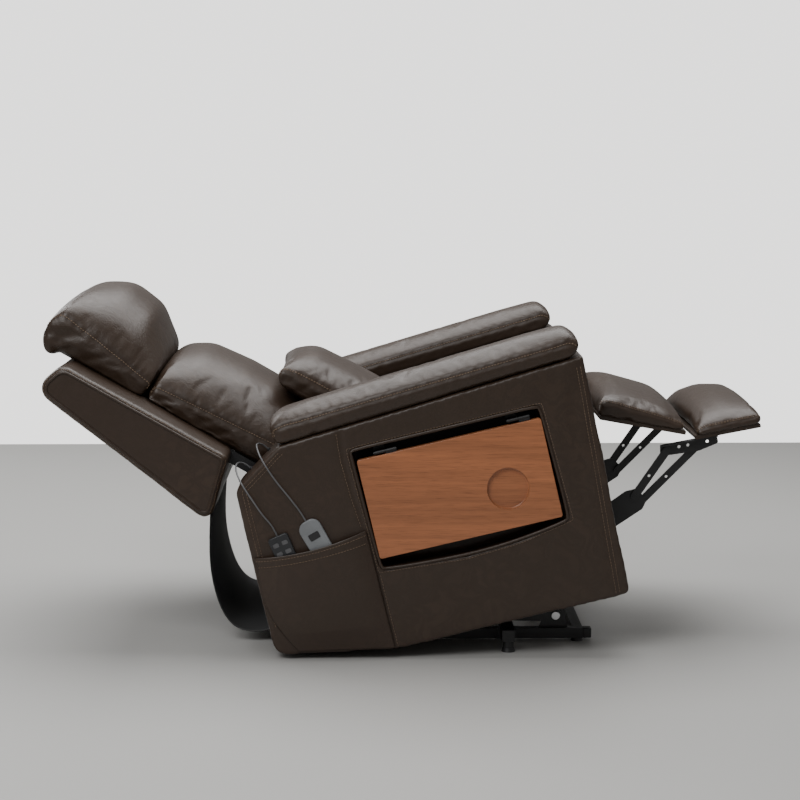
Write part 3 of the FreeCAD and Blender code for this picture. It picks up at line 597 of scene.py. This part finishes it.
def inflate(o, seam, pressure, cap, slack):
    """Fills a padded piece by cloth simulation, held along its seams."""
    t = tree_of(seam)
    rest = coordinates(o)
    held = [k for k, p in enumerate(rest) if t.find(Vector(p))[2] < sizes().cushion_mesh * 1.15]
    pins = o.vertex_groups.new(name="seam")
    pins.add(held, 1.0, "REPLACE")
    cloth = o.modifiers.new("fill", "CLOTH")
    s = cloth.settings
    s.quality = 4
    s.mass = 0.35
    s.tension_stiffness = 25
    s.compression_stiffness = 25
    s.shear_stiffness = 12
    s.bending_stiffness = 1.2
    s.use_pressure = True
    s.uniform_pressure_force = pressure
    s.shrink_min = -slack
    s.vertex_group_mass = pins.name
    s.effector_weights.gravity = 0
    cloth.collision_settings.use_collision = False
    scene = bpy.context.scene
    for f in range(1, 21):
        scene.frame_set(f)
    bake_modifiers(o)
    scene.frame_set(1)
    moved = coordinates(o)
    shift = moved - rest
    length = np.linalg.norm(shift, axis=1)
    far = length > cap
    shift[far] *= (cap / length[far])[:, None]
    set_coordinates(o, rest + shift)
    o.vertex_groups.clear()


def mount(o, body, mat, nodes=(), divide=0):
    """Gives a piece its leather and its body, and hides the CAD nodes that it stands for."""
    o.data.materials.clear()
    o.data.materials.append(mat)
    for p in o.data.polygons:
        p.use_smooth = True
    if divide:
        m = o.modifiers.new("finer", "SUBSURF")
        m.levels = divide
        m.render_levels = divide
    if body:
        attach(o, body)
    if nodes:
        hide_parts(*nodes)
    return o


def surface_tree(o):
    graph = bpy.context.evaluated_depsgraph_get()
    return BVHTree.FromObject(o, graph)


def stitches(name, runs, on, body, lift=0.0004):
    """Rows of stitches that lie on a piece's surface."""
    z = sizes()
    t = surface_tree(on)
    bm = bmesh.new()
    for run, closed in runs:
        points = evenly(run, z.stitch_pitch, closed)
        laid = [t.find_nearest(p) for p in points]
        for (a, na, _, _), (b, nb, _, _) in zip(laid, laid[1:]):
            if a is None or b is None or not 1e-4 < (b - a).length < z.stitch_pitch * 1.8:
                continue
            up = (na + nb).normalized()
            along = (b - a).normalized()
            side = up.cross(along).normalized()
            up = along.cross(side)
            middle = a.lerp(b, 0.5) + up * lift
            place = Matrix((side, up, along)).transposed().to_4x4()
            place.translation = middle
            bmesh.ops.create_cone(bm, cap_ends=True, segments=6, radius1=z.thread, radius2=z.thread,
                                  depth=(b - a).length * 0.70, matrix=place)
    o = finish_mesh(name, bm, thread())
    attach(o, body)
    return o


def tube(name, points, radius, mat, closed=False):
    """A round bead along a line of points, as a mesh."""
    curve = bpy.data.curves.new(name, "CURVE")
    curve.dimensions = "3D"
    spline = curve.splines.new("NURBS")
    spline.points.add(len(points) - 1)
    for p, at in zip(spline.points, points):
        p.co = (*at, 1)
    spline.order_u = 3
    spline.use_cyclic_u = closed
    spline.use_endpoint_u = not closed
    spline.resolution_u = 2
    curve.bevel_depth = radius
    curve.bevel_resolution = 2
    curve.use_fill_caps = True
    o = new_object(name, curve)
    graph = bpy.context.evaluated_depsgraph_get()
    mesh = bpy.data.meshes.new_from_object(o.evaluated_get(graph))
    bpy.data.objects.remove(o)
    o = new_object(name, mesh)
    mesh.materials.append(mat)
    for p in mesh.polygons:
        p.use_smooth = True
    return o


def laid_on(points, on, lift=0.0):
    """The points moved to the nearest place on a piece, raised a little."""
    t = surface_tree(on)
    out = []
    for p in points:
        at, n, _, _ = t.find_nearest(p)
        out.append(at + n * lift)
    return out


# ---- The pieces ----

# Route of each handset's cord on the right arm, in metres on the level body.
MAIN_CORD = [
    (-0.800, -0.312, 0.4815), (-0.811, -0.315, 0.498), (-0.823, -0.330, 0.507), (-0.829, -0.358, 0.508),
    (-0.829, -0.392, 0.503), (-0.826, -0.425, 0.493), (-0.820, -0.449, 0.476), (-0.810, -0.459, 0.450),
    (-0.799, -0.461, 0.421), (-0.788, -0.460, 0.390), (-0.7712, -0.457, 0.3586), (-0.767, -0.457, 0.334),
]
MASSAGE_CORD = [
    (-0.745, -0.330, 0.5182), (-0.755, -0.333, 0.534), (-0.765, -0.348, 0.543), (-0.769, -0.375, 0.545),
    (-0.767, -0.405, 0.538), (-0.763, -0.433, 0.526), (-0.756, -0.452, 0.508), (-0.746, -0.460, 0.481),
    (-0.734, -0.462, 0.452), (-0.721, -0.461, 0.425), (-0.710, -0.460, 0.400), (-0.6999, -0.457, 0.376),
    (-0.693, -0.457, 0.352),
]
CORDS = (("handset_cord", MAIN_CORD, 0.3202), ("massage_cord", MASSAGE_CORD, 0.3224))

# Lines that padded pieces are sewn to: (x, z) of a start in millimetres, and the line's lean in degrees.
# Height is measured square to the line. Each piece is low at its sides and crowned in the middle.
BACK_LINE = ((-836, 536), 136.7)
CUSHIONS = (
    # node, body, line, (s, side height) at two places, middle y, half width, pressure, cap, spare hide
    ("seat_cushion", "chassis", ((-50, 361), 180.0), ((0, 78), (500, 84)), 0, 280, 1.2, 0.005, 0.004),
    ("back_cushion", "back", BACK_LINE, ((-160, 62), (236, 40)), 0, 280, 1.6, 0.006, 0.008),
    ("lumbar_pillow", "back", ((-712.6, 666.9), 136.7), ((-286, 52), (0, 48)), 12.5, 212.5, 1.6, 0.006, 0.010),
    ("head_cushion", "head", BACK_LINE, ((252, 42), (530, 88)), 0, 284, 1.6, 0.005, 0.006),
    ("ottoman_pad", "ottoman", ((432, 291.5), 177.2), ((0, 20), (170, 16)), 0, 280, 1.2, 0.005, 0.006),
    ("flap_pad", "flap", ((250.0, 313.2), 156.2), ((0, 16), (228, 40)), 0, 280, 1.2, 0.005, 0.006),
    ("arm_pad_right", "chassis", ((4, 578.5), 183.09), ((-30, 36), (730, 44)), -368, 84, 0.8, 0.003, 0.003),
    ("arm_pad_left", "chassis", ((4, 578.5), 183.09), ((-30, 36), (730, 44)), 368, 84, 0.8, 0.003, 0.003),
)
SEAM_STEP = 0.0015
SEAM_PULL = 0.0030
SEAM_WIDTH = 0.006
GATHER = 0.0007
CLOTH_HALF_WIDTH = 0.279
CLOTH_STEP = 0.008
CLOTH_COLUMNS = 40
CLOTH_WALL = 0.0024
POCKET_WALL = 0.0026
OPENING_WELT = 0.0042
FLOOR_HALF = 3
PIECES = {}


class Crown:
    """Turns a plain padded solid into one that is low at its sides and full in its middle."""

    def __init__(self, rest, line, sides, middle, half):
        (x, z), lean = line
        a = math.radians(lean)
        inverse = np.array(CHASSIS.inverted())
        self.matrix, self.back = inverse, np.array(CHASSIS)
        self.start = np.array([x, z]) / 1000
        self.along = np.array([math.cos(a), math.sin(a)])
        self.out = np.array([math.sin(a), -math.cos(a)])
        (self.s0, self.h0), (self.s1, self.h1) = ((s / 1000, h / 1000) for s, h in sides)
        self.middle, self.half = middle / 1000, half / 1000
        s, _, h = self.local(rest)
        self.s_rows = np.linspace(s.min(), s.max(), 60)
        edge = h > 0.02
        tops = np.array([h[edge & (abs(s - q) < 0.009)].max(initial=0.02) for q in self.s_rows])
        self.tops = np.convolve(np.pad(tops, 2, mode="edge"), np.ones(5) / 5, mode="valid")

    def local(self, co):
        level = co @ self.matrix[:3, :3].T + self.matrix[:3, 3]
        flat = level[:, [0, 2]] - self.start
        return flat @ self.along, level[:, 1], flat @ self.out

    def share(self, s, y):
        """How much of its height the piece keeps at s along and y across."""
        side = self.h0 + (self.h1 - self.h0) * np.clip((s - self.s0) / (self.s1 - self.s0), 0, 1)
        full = np.interp(s, self.s_rows, self.tops)
        ratio = np.clip(side / full, 0, 1)
        t = np.clip(abs(y - self.middle) / self.half, 0, 1)
        return ratio + (1 - ratio) * (1 - t ** 2.3) ** 0.62

    def shape(self, co):
        co = np.array(co, float).reshape(-1, 3)
        s, y, h = self.local(co)
        new = np.where(h > 0, h * self.share(s, y), h)
        flat = self.start + np.outer(s, self.along) + np.outer(new, self.out)
        level = np.c_[flat[:, 0], y, flat[:, 1]]
        return level @ self.back[:3, :3].T + self.back[:3, 3]

    def rim(self, loop):
        """The part of an end outline that the top panel is sewn to, as one run of points."""
        co = np.array([tuple(p) for p in loop])
        s, _, h = self.local(co)
        keep = h > np.interp(s, self.s_rows, self.tops) * 0.45
        shaped = [Vector(p) for p in self.shape(co)]
        starts = [i for i in range(len(loop)) if keep[i] and not keep[i - 1]]
        runs = []
        for i in starts:
            run = []
            while keep[i % len(loop)] and len(run) <= len(loop):
                run.append(shaped[i % len(loop)])
                i += 1
            runs.append(run)
        return max(runs, key=len) if runs else shaped


class CHAIR_OT_camera(bpy.types.Operator):
    """Places the camera beside the chair, a little above its arms"""
    bl_idname = "chair.camera"
    bl_label = "Camera"

    def execute(self, context):
        data = bpy.data.cameras.new("side_camera")
        data.lens = 89.55
        data.sensor_width = 36
        camera = bpy.data.objects.new("side_camera", data)
        camera.location = (-0.082, -5.05, 1.207)
        camera.rotation_euler = (math.radians(90 - 7.28), 0, math.radians(-0.864))
        context.scene.collection.objects.link(camera)
        context.scene.camera = camera
        return {"FINISHED"}


class CHAIR_OT_cords(bpy.types.Operator):
    """Lays the two handset cords over the right arm"""
    bl_idname = "chair.cords"
    bl_label = "Handset cords"

    def execute(self, context):
        sheath = cad_finish("cord_sheath")
        for name, route, length in CORDS:
            curve = bpy.data.curves.new(name + "_line", "CURVE")
            curve.dimensions = "3D"
            spline = curve.splines.new("NURBS")
            spline.points.add(len(route) - 1)
            for p, at in zip(spline.points, route):
                p.co = (*(CHASSIS @ Vector(at)), 1)
            spline.order_u = 3
            spline.use_endpoint_u = True
            spline.resolution_u = 12
            curve.bevel_depth = sizes().cord
            curve.bevel_resolution = 4
            curve.use_fill_caps = True
            curve.materials.append(sheath)
            o = new_object(name + "_line", curve)
            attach(o, "chassis")
            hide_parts(name)
        return {"FINISHED"}


class CHAIR_OT_finishes(bpy.types.Operator):
    """Gives every CAD node its finish: powder coat, zinc, plastic, wood or cloth"""
    bl_idname = "chair.finishes"
    bl_label = "Frame finishes"

    def execute(self, context):
        for part in frame["record"]["subparts"]:
            mesh = NODES[part["node"]].data
            mesh.materials.clear()
            mesh.materials.append(cad_finish(part["material_slot"]))
        return {"FINISHED"}


class CHAIR_OT_cushions(bpy.types.Operator):
    """Fills the cushions and pads, and sews their end seams"""
    bl_idname = "chair.cushions"
    bl_label = "Cushions and pads"

    def execute(self, context):
        hide = leather()
        for seed, (source, body, line, sides, middle, half, pressure, cap, slack) in enumerate(CUSHIONS):
            o = even_copy(source, source + "_hide", sizes().cushion_mesh, 2)
            crown = Crown(coordinates(o), line, sides, middle, half)
            set_coordinates(o, crown.shape(coordinates(o)))
            self.relax(o, 3)
            rims = [(sign, crown.rim(evenly(end_outline(source, sign), SEAM_STEP, closed=True)))
                    for _, sign in SIDES]
            held = rims[0][1] + rims[1][1]
            inflate(o, held, pressure, cap, slack)
            sew(o, held, SEAM_PULL, SEAM_WIDTH, GATHER, 23 + 4 * (seed % 3), seed)
            mount(o, body, hide, (source,), divide=1)
            PIECES[source] = o
            runs = []
            for sign, rim in rims:
                inwards = Vector((0, -sign * 0.001, 0))
                runs += [([p + inwards * d for p in rim], False) for d in (6, 11)]
            stitches(source + "_stitching", runs, o, body)
        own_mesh(PIECES["lumbar_pillow"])
        return {"FINISHED"}

    def relax(self, o, passes):
        bm = bmesh.new()
        bm.from_mesh(o.data)
        for _ in range(passes):
            bmesh.ops.smooth_vert(bm, verts=bm.verts, factor=0.5, use_axis_x=True, use_axis_y=True,
                                  use_axis_z=True)
        bm.to_mesh(o.data)
        bm.free()


class CHAIR_OT_arms(bpy.types.Operator):
    """Covers both arms in leather, with their panel seams"""
    bl_idname = "chair.arms"
    bl_label = "Arms"

    def execute(self, context):
        hide = leather()
        for seed, (side, sign) in enumerate(SIDES):
            source = "arm_" + side
            o = even_copy(source, source + "_hide", sizes().panel_mesh, 4)
            self.dress(o, sign, seed)
            mount(o, "chassis", hide, (source,))
            PIECES[source] = o
        self.trim("right", -1)
        self.trim("left", 1)
        return {"FINISHED"}

    def dress(self, o, sign, seed):
        """Soft folds in the panels, and the valleys of the panel seams."""
        co, n = coordinates(o), normals(o)
        slow = noise_field(co, 5.0, 11 + seed)
        folds = noise_field(co, 16.0, 21 + seed, (1.6, 1.0, 0.6))
        level = (np.array(CHASSIS.inverted()) @ np.c_[co, np.ones(len(co))].T).T
        front = np.exp(-(level[:, 0] / 0.055) ** 2)
        co += n * (0.0016 * slow + (0.0007 + 0.0020 * front) * folds)[:, None]
        set_coordinates(o, co)
        sew(o, self.panel_seam(sign), 0.0035, SEAM_WIDTH, 0.0006, 14, 31 + seed)

    def panel_seam(self, sign):
        """The seam between the tray panel and the pocket panel."""
        y = sign * ARM_FACE * 1000
        corners = [(-562, 0), (-562, 296), (-569, 380), (-572, 470), (-566, 541)]
        line = [seat_point(x, y, z) for x, z in corners]
        return evenly(line, SEAM_STEP)

    def trim(self, side, sign):
        """Topstitching beside the seams and edges of the outer face."""
        on = PIECES["arm_" + side]
        y = sign * (ARM_FACE * 1000 + 3)
        low, high = [(-562, 4), (-562, 186)], [(-562, 305), (-569, 380), (-572, 470), (-567, 538)]
        runs = [([seat_point(x + 7, y, z) for x, z in low], False)]
        runs += [([seat_point(x - 8, y, z) for x, z in high], False)]
        runs += [([seat_point(x, y, z) for x, z in ((-14 - d, 8), (16 - d, 560))], False) for d in (0, 9)]
        rear = [(-824, 120), (-822, 455), (-712, 526)]
        runs += [([seat_point(x + d, y, z - d * 0.4) for x, z in rear], False) for d in (0, 9)]
        if side == "right":
            hem = [(-562, 494), (-92, 492), (-82, 204), (-213, 180), (-346, 173), (-558, 190)]
            runs += [([seat_point(x, y, z) for x, z in hem], True)]
        stitches("arm_" + side + "_stitching", runs, on, "chassis")


class CHAIR_OT_tray_opening(bpy.types.Operator):
    """Rolls the leather round the tray's opening into a welt"""
    bl_idname = "chair.tray_opening"
    bl_label = "Tray opening"

    def execute(self, context):
        edge = [(-553, 489), (-480, 488.5), (-330, 488), (-180, 487.5), (-104, 487), (-98, 480), (-95, 380),
                (-92, 290), (-91, 213), (-98, 206), (-150, 197), (-213, 189), (-280, 184), (-346, 183),
                (-440, 187), (-540, 195), (-549, 200), (-551, 280), (-553, 400), (-554, 480)]
        rim = [seat_point(x, -ARM_FACE * 1000 + 2, z) for x, z in edge]
        o = tube("tray_opening_welt", rim, OPENING_WELT, leather(), closed=True)
        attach(o, "chassis")
        return {"FINISHED"}


class CHAIR_OT_back_shell(bpy.types.Operator):
    """Covers the backrest's outer shell, with piping along its front edges"""
    bl_idname = "chair.back_shell"
    bl_label = "Back shell"

    def execute(self, context):
        hide = leather()
        o = even_copy("back_shell", "back_shell_hide", sizes().panel_mesh, 4)
        co, n = coordinates(o), normals(o)
        slow = noise_field(co, 5.0, 41)
        folds = noise_field(co, 15.0, 43)
        co += n * (0.0020 * slow + 0.0009 * folds)[:, None]
        set_coordinates(o, co)
        mount(o, "back", hide, ("back_shell",))
        PIECES["back_shell"] = o
        runs = []
        for side, sign in SIDES:
            loop = end_outline("back_shell", sign)
            bead = laid_on(evenly(loop, 0.012, closed=True), o, 0.0008)
            welt = tube("back_shell_welt_" + side, bead, sizes().welt, hide, closed=True)
            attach(welt, "back")
            runs += [([p - Vector((0, sign * 0.011, 0)) for p in loop], True)]
        stitches("back_shell_stitching", runs, o, "back")
        return {"FINISHED"}


class CHAIR_OT_pocket(bpy.types.Operator):
    """Sews the magazine pocket to the right arm"""
    bl_idname = "chair.pocket"
    bl_label = "Side pocket"

    corners = ((-785, 52), (-562, 6), (-562, 296), (-834, 294))

    def panel_point(self, s, t):
        """The pocket's hide at s across and t up, bulging between its sewn edges."""
        rear_foot, front_foot, front_top, rear_top = (Vector((x, 0, z)) for x, z in self.corners)
        rear = rear_foot.lerp(rear_top, t) - Vector((44 * math.sin(math.pi * min(1, t * 1.1)), 0, 0)) * 0.55
        front = front_foot.lerp(front_top, t)
        p = rear.lerp(front, s)
        p.z -= 14 * math.sin(math.pi * s) * t ** 4 * 0.8
        open_up = (1 - (2 * s - 1) ** 4) * (0.45 + 0.55 * t) * min(1, t * 5)
        drape = 1.6 * noise.noise(Vector((s * 4, t * 3, 0.4))) * open_up
        return seat_point(p.x, -ARM_FACE * 1000 - 2.5 - 17.5 * open_up - drape, p.z)

    def execute(self, context):
        bm = bmesh.new()
        bmesh.ops.create_grid(bm, x_segments=72, y_segments=84, size=0.5)
        for v in bm.verts:
            v.co = self.panel_point(v.co.x + 0.5, v.co.y + 0.5)
        bmesh.ops.recalc_face_normals(bm, faces=bm.faces)
        o = finish_mesh("side_pocket_hide", bm, leather())
        wall = o.modifiers.new("thickness", "SOLIDIFY")
        wall.thickness = POCKET_WALL
        wall.offset = 0
        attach(o, "chassis")
        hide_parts("side_pocket")
        rows = [([self.panel_point(k / 60, t) - Vector((0, 0.002, 0)) for k in range(61)], False)
                for t in (0.90, 0.965)]
        stitches("side_pocket_stitching", rows, o, "chassis")
        return {"FINISHED"}


class CHAIR_OT_rear_flap(bpy.types.Operator):
    """Hangs the cloth that closes the gap under the backrest"""
    bl_idname = "chair.rear_flap"
    bl_label = "Rear flap"

    line = ((-927, 397), (-958, 300), (-967, 190), (-948, 115), (-900, 84), (-840, 80), (-765, 92))

    def execute(self, context):
        path = bpy.data.curves.new("flap_line", "CURVE")
        path.dimensions = "3D"
        spline = path.splines.new("NURBS")
        spline.points.add(len(self.line) - 1)
        for p, (x, z) in zip(spline.points, self.line):
            p.co = (*seat_point(x, 0, z), 1)
        spline.order_u = 3
        spline.use_endpoint_u = True
        spline.resolution_u = 10
        guide = new_object("flap_line", path)
        graph = bpy.context.evaluated_depsgraph_get()
        mesh = bpy.data.meshes.new_from_object(guide.evaluated_get(graph))
        points = evenly([v.co.copy() for v in mesh.vertices], CLOTH_STEP)
        bpy.data.objects.remove(guide)
        bm = bmesh.new()
        row = [bm.verts.new(p + Vector((0, -CLOTH_HALF_WIDTH, 0))) for p in points]
        edges = [bm.edges.new(pair) for pair in zip(row, row[1:])]
        made = edges
        for _ in range(CLOTH_COLUMNS):
            out = bmesh.ops.extrude_edge_only(bm, edges=made)
            moved = [g for g in out["geom"] if isinstance(g, bmesh.types.BMVert)]
            made = [g for g in out["geom"] if isinstance(g, bmesh.types.BMEdge)
                    and all(v in moved for v in g.verts)]
            bmesh.ops.translate(bm, verts=moved, vec=(0, 2 * CLOTH_HALF_WIDTH / CLOTH_COLUMNS, 0))
        for v in bm.verts:
            sag = noise.noise(v.co * 6) * 0.0025
            v.co += Vector((sag, 0, sag))
        bmesh.ops.recalc_face_normals(bm, faces=bm.faces)
        o = finish_mesh("rear_flap_cloth", bm, cad_finish("flap_cloth"))
        wall = o.modifiers.new("thickness", "SOLIDIFY")
        wall.thickness = CLOTH_WALL
        wall.offset = 0
        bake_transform(o)
        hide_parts("rear_flap")
        return {"FINISHED"}


class CHAIR_OT_stage(bpy.types.Operator):
    """Plain floor and backdrop with soft studio light"""
    bl_idname = "chair.stage"
    bl_label = "Stage"

    def execute(self, context):
        bm = bmesh.new()
        bmesh.ops.create_grid(bm, x_segments=1, y_segments=1, size=FLOOR_HALF)
        pale = bpy.data.materials.new("pale_floor")
        pale.use_nodes = True
        shader = pale.node_tree.nodes["Principled BSDF"]
        shader.inputs["Base Color"].default_value = (0.44, 0.435, 0.42, 1)
        shader.inputs["Roughness"].default_value = 0.5
        floor = finish_mesh("floor", bm, pale, smooth=False)
        world = bpy.data.worlds.new("studio")
        context.scene.world = world
        world.use_nodes = True
        tree = world.node_tree
        back = tree.nodes["Background"]
        back.inputs["Color"].default_value = (0.96, 0.95, 0.935, 1)
        seen = node(tree, "ShaderNodeLightPath", (-500, 200))
        level = node(tree, "ShaderNodeMapRange", (-250, 200))
        level.inputs["To Min"].default_value = 0.26
        level.inputs["To Max"].default_value = 2.1
        link(tree, seen.outputs["Is Camera Ray"], level.inputs["Value"])
        link(tree, level.outputs["Result"], back.inputs["Strength"])
        for name, at, aim, size, power in (
                ("key", (-1.6, -3.2, 3.4), (0, 0, 0.5), 2.0, 95),
                ("top", (0.1, 0.9, 3.6), (0, 0, 0.4), 3.6, 190),
                ("rim", (-3.0, 2.8, 2.4), (-0.3, 0, 0.6), 2.0, 60)):
            lamp = bpy.data.lights.new(name, "AREA")
            lamp.energy = power
            lamp.size = size
            o = bpy.data.objects.new(name, lamp)
            o.location = at
            o.rotation_euler = (Vector(aim) - Vector(at)).to_track_quat("-Z", "Y").to_euler()
            context.scene.collection.objects.link(o)
        return {"FINISHED"}


class CHAIR_PT_panel(bpy.types.Panel):
    """Lists the pieces in the 3D view's sidebar"""
    bl_idname = "CHAIR_PT_panel"
    bl_label = "Lift recliner"
    bl_space_type = "VIEW_3D"
    bl_region_type = "UI"
    bl_category = "Chair"

    def draw(self, context):
        column = self.layout.column()
        for settings in (context.scene.chair_sizes, context.scene.chair_colours):
            for name in settings.bl_rna.properties.keys():
                if name not in ("rna_type", "name"):
                    column.prop(settings, name)
        for step in STEPS:
            column.operator(step.bl_idname)


STEPS = (CHAIR_OT_camera, CHAIR_OT_cords, CHAIR_OT_finishes, CHAIR_OT_cushions, CHAIR_OT_arms,
         CHAIR_OT_tray_opening, CHAIR_OT_back_shell, CHAIR_OT_pocket, CHAIR_OT_rear_flap, CHAIR_OT_stage)
CLASSES = (ChairSizes, ChairColours, *STEPS, CHAIR_PT_panel)


def register():
    for c in CLASSES:
        bpy.utils.register_class(c)
    bpy.types.Scene.chair_sizes = bpy.props.PointerProperty(type=ChairSizes)
    bpy.types.Scene.chair_colours = bpy.props.PointerProperty(type=ChairColours)


def unregister():
    del bpy.types.Scene.chair_colours
    del bpy.types.Scene.chair_sizes
    for c in reversed(CLASSES):
        bpy.utils.unregister_class(c)


def main():
    """Registers the add-on, then builds every piece in order."""
    register()
    for step in STEPS:
        group_name, action = step.bl_idname.split(".")
        getattr(getattr(bpy.ops, group_name), action)()
    bpy.context.view_layer.update()


if __name__ == "__main__":
    main()
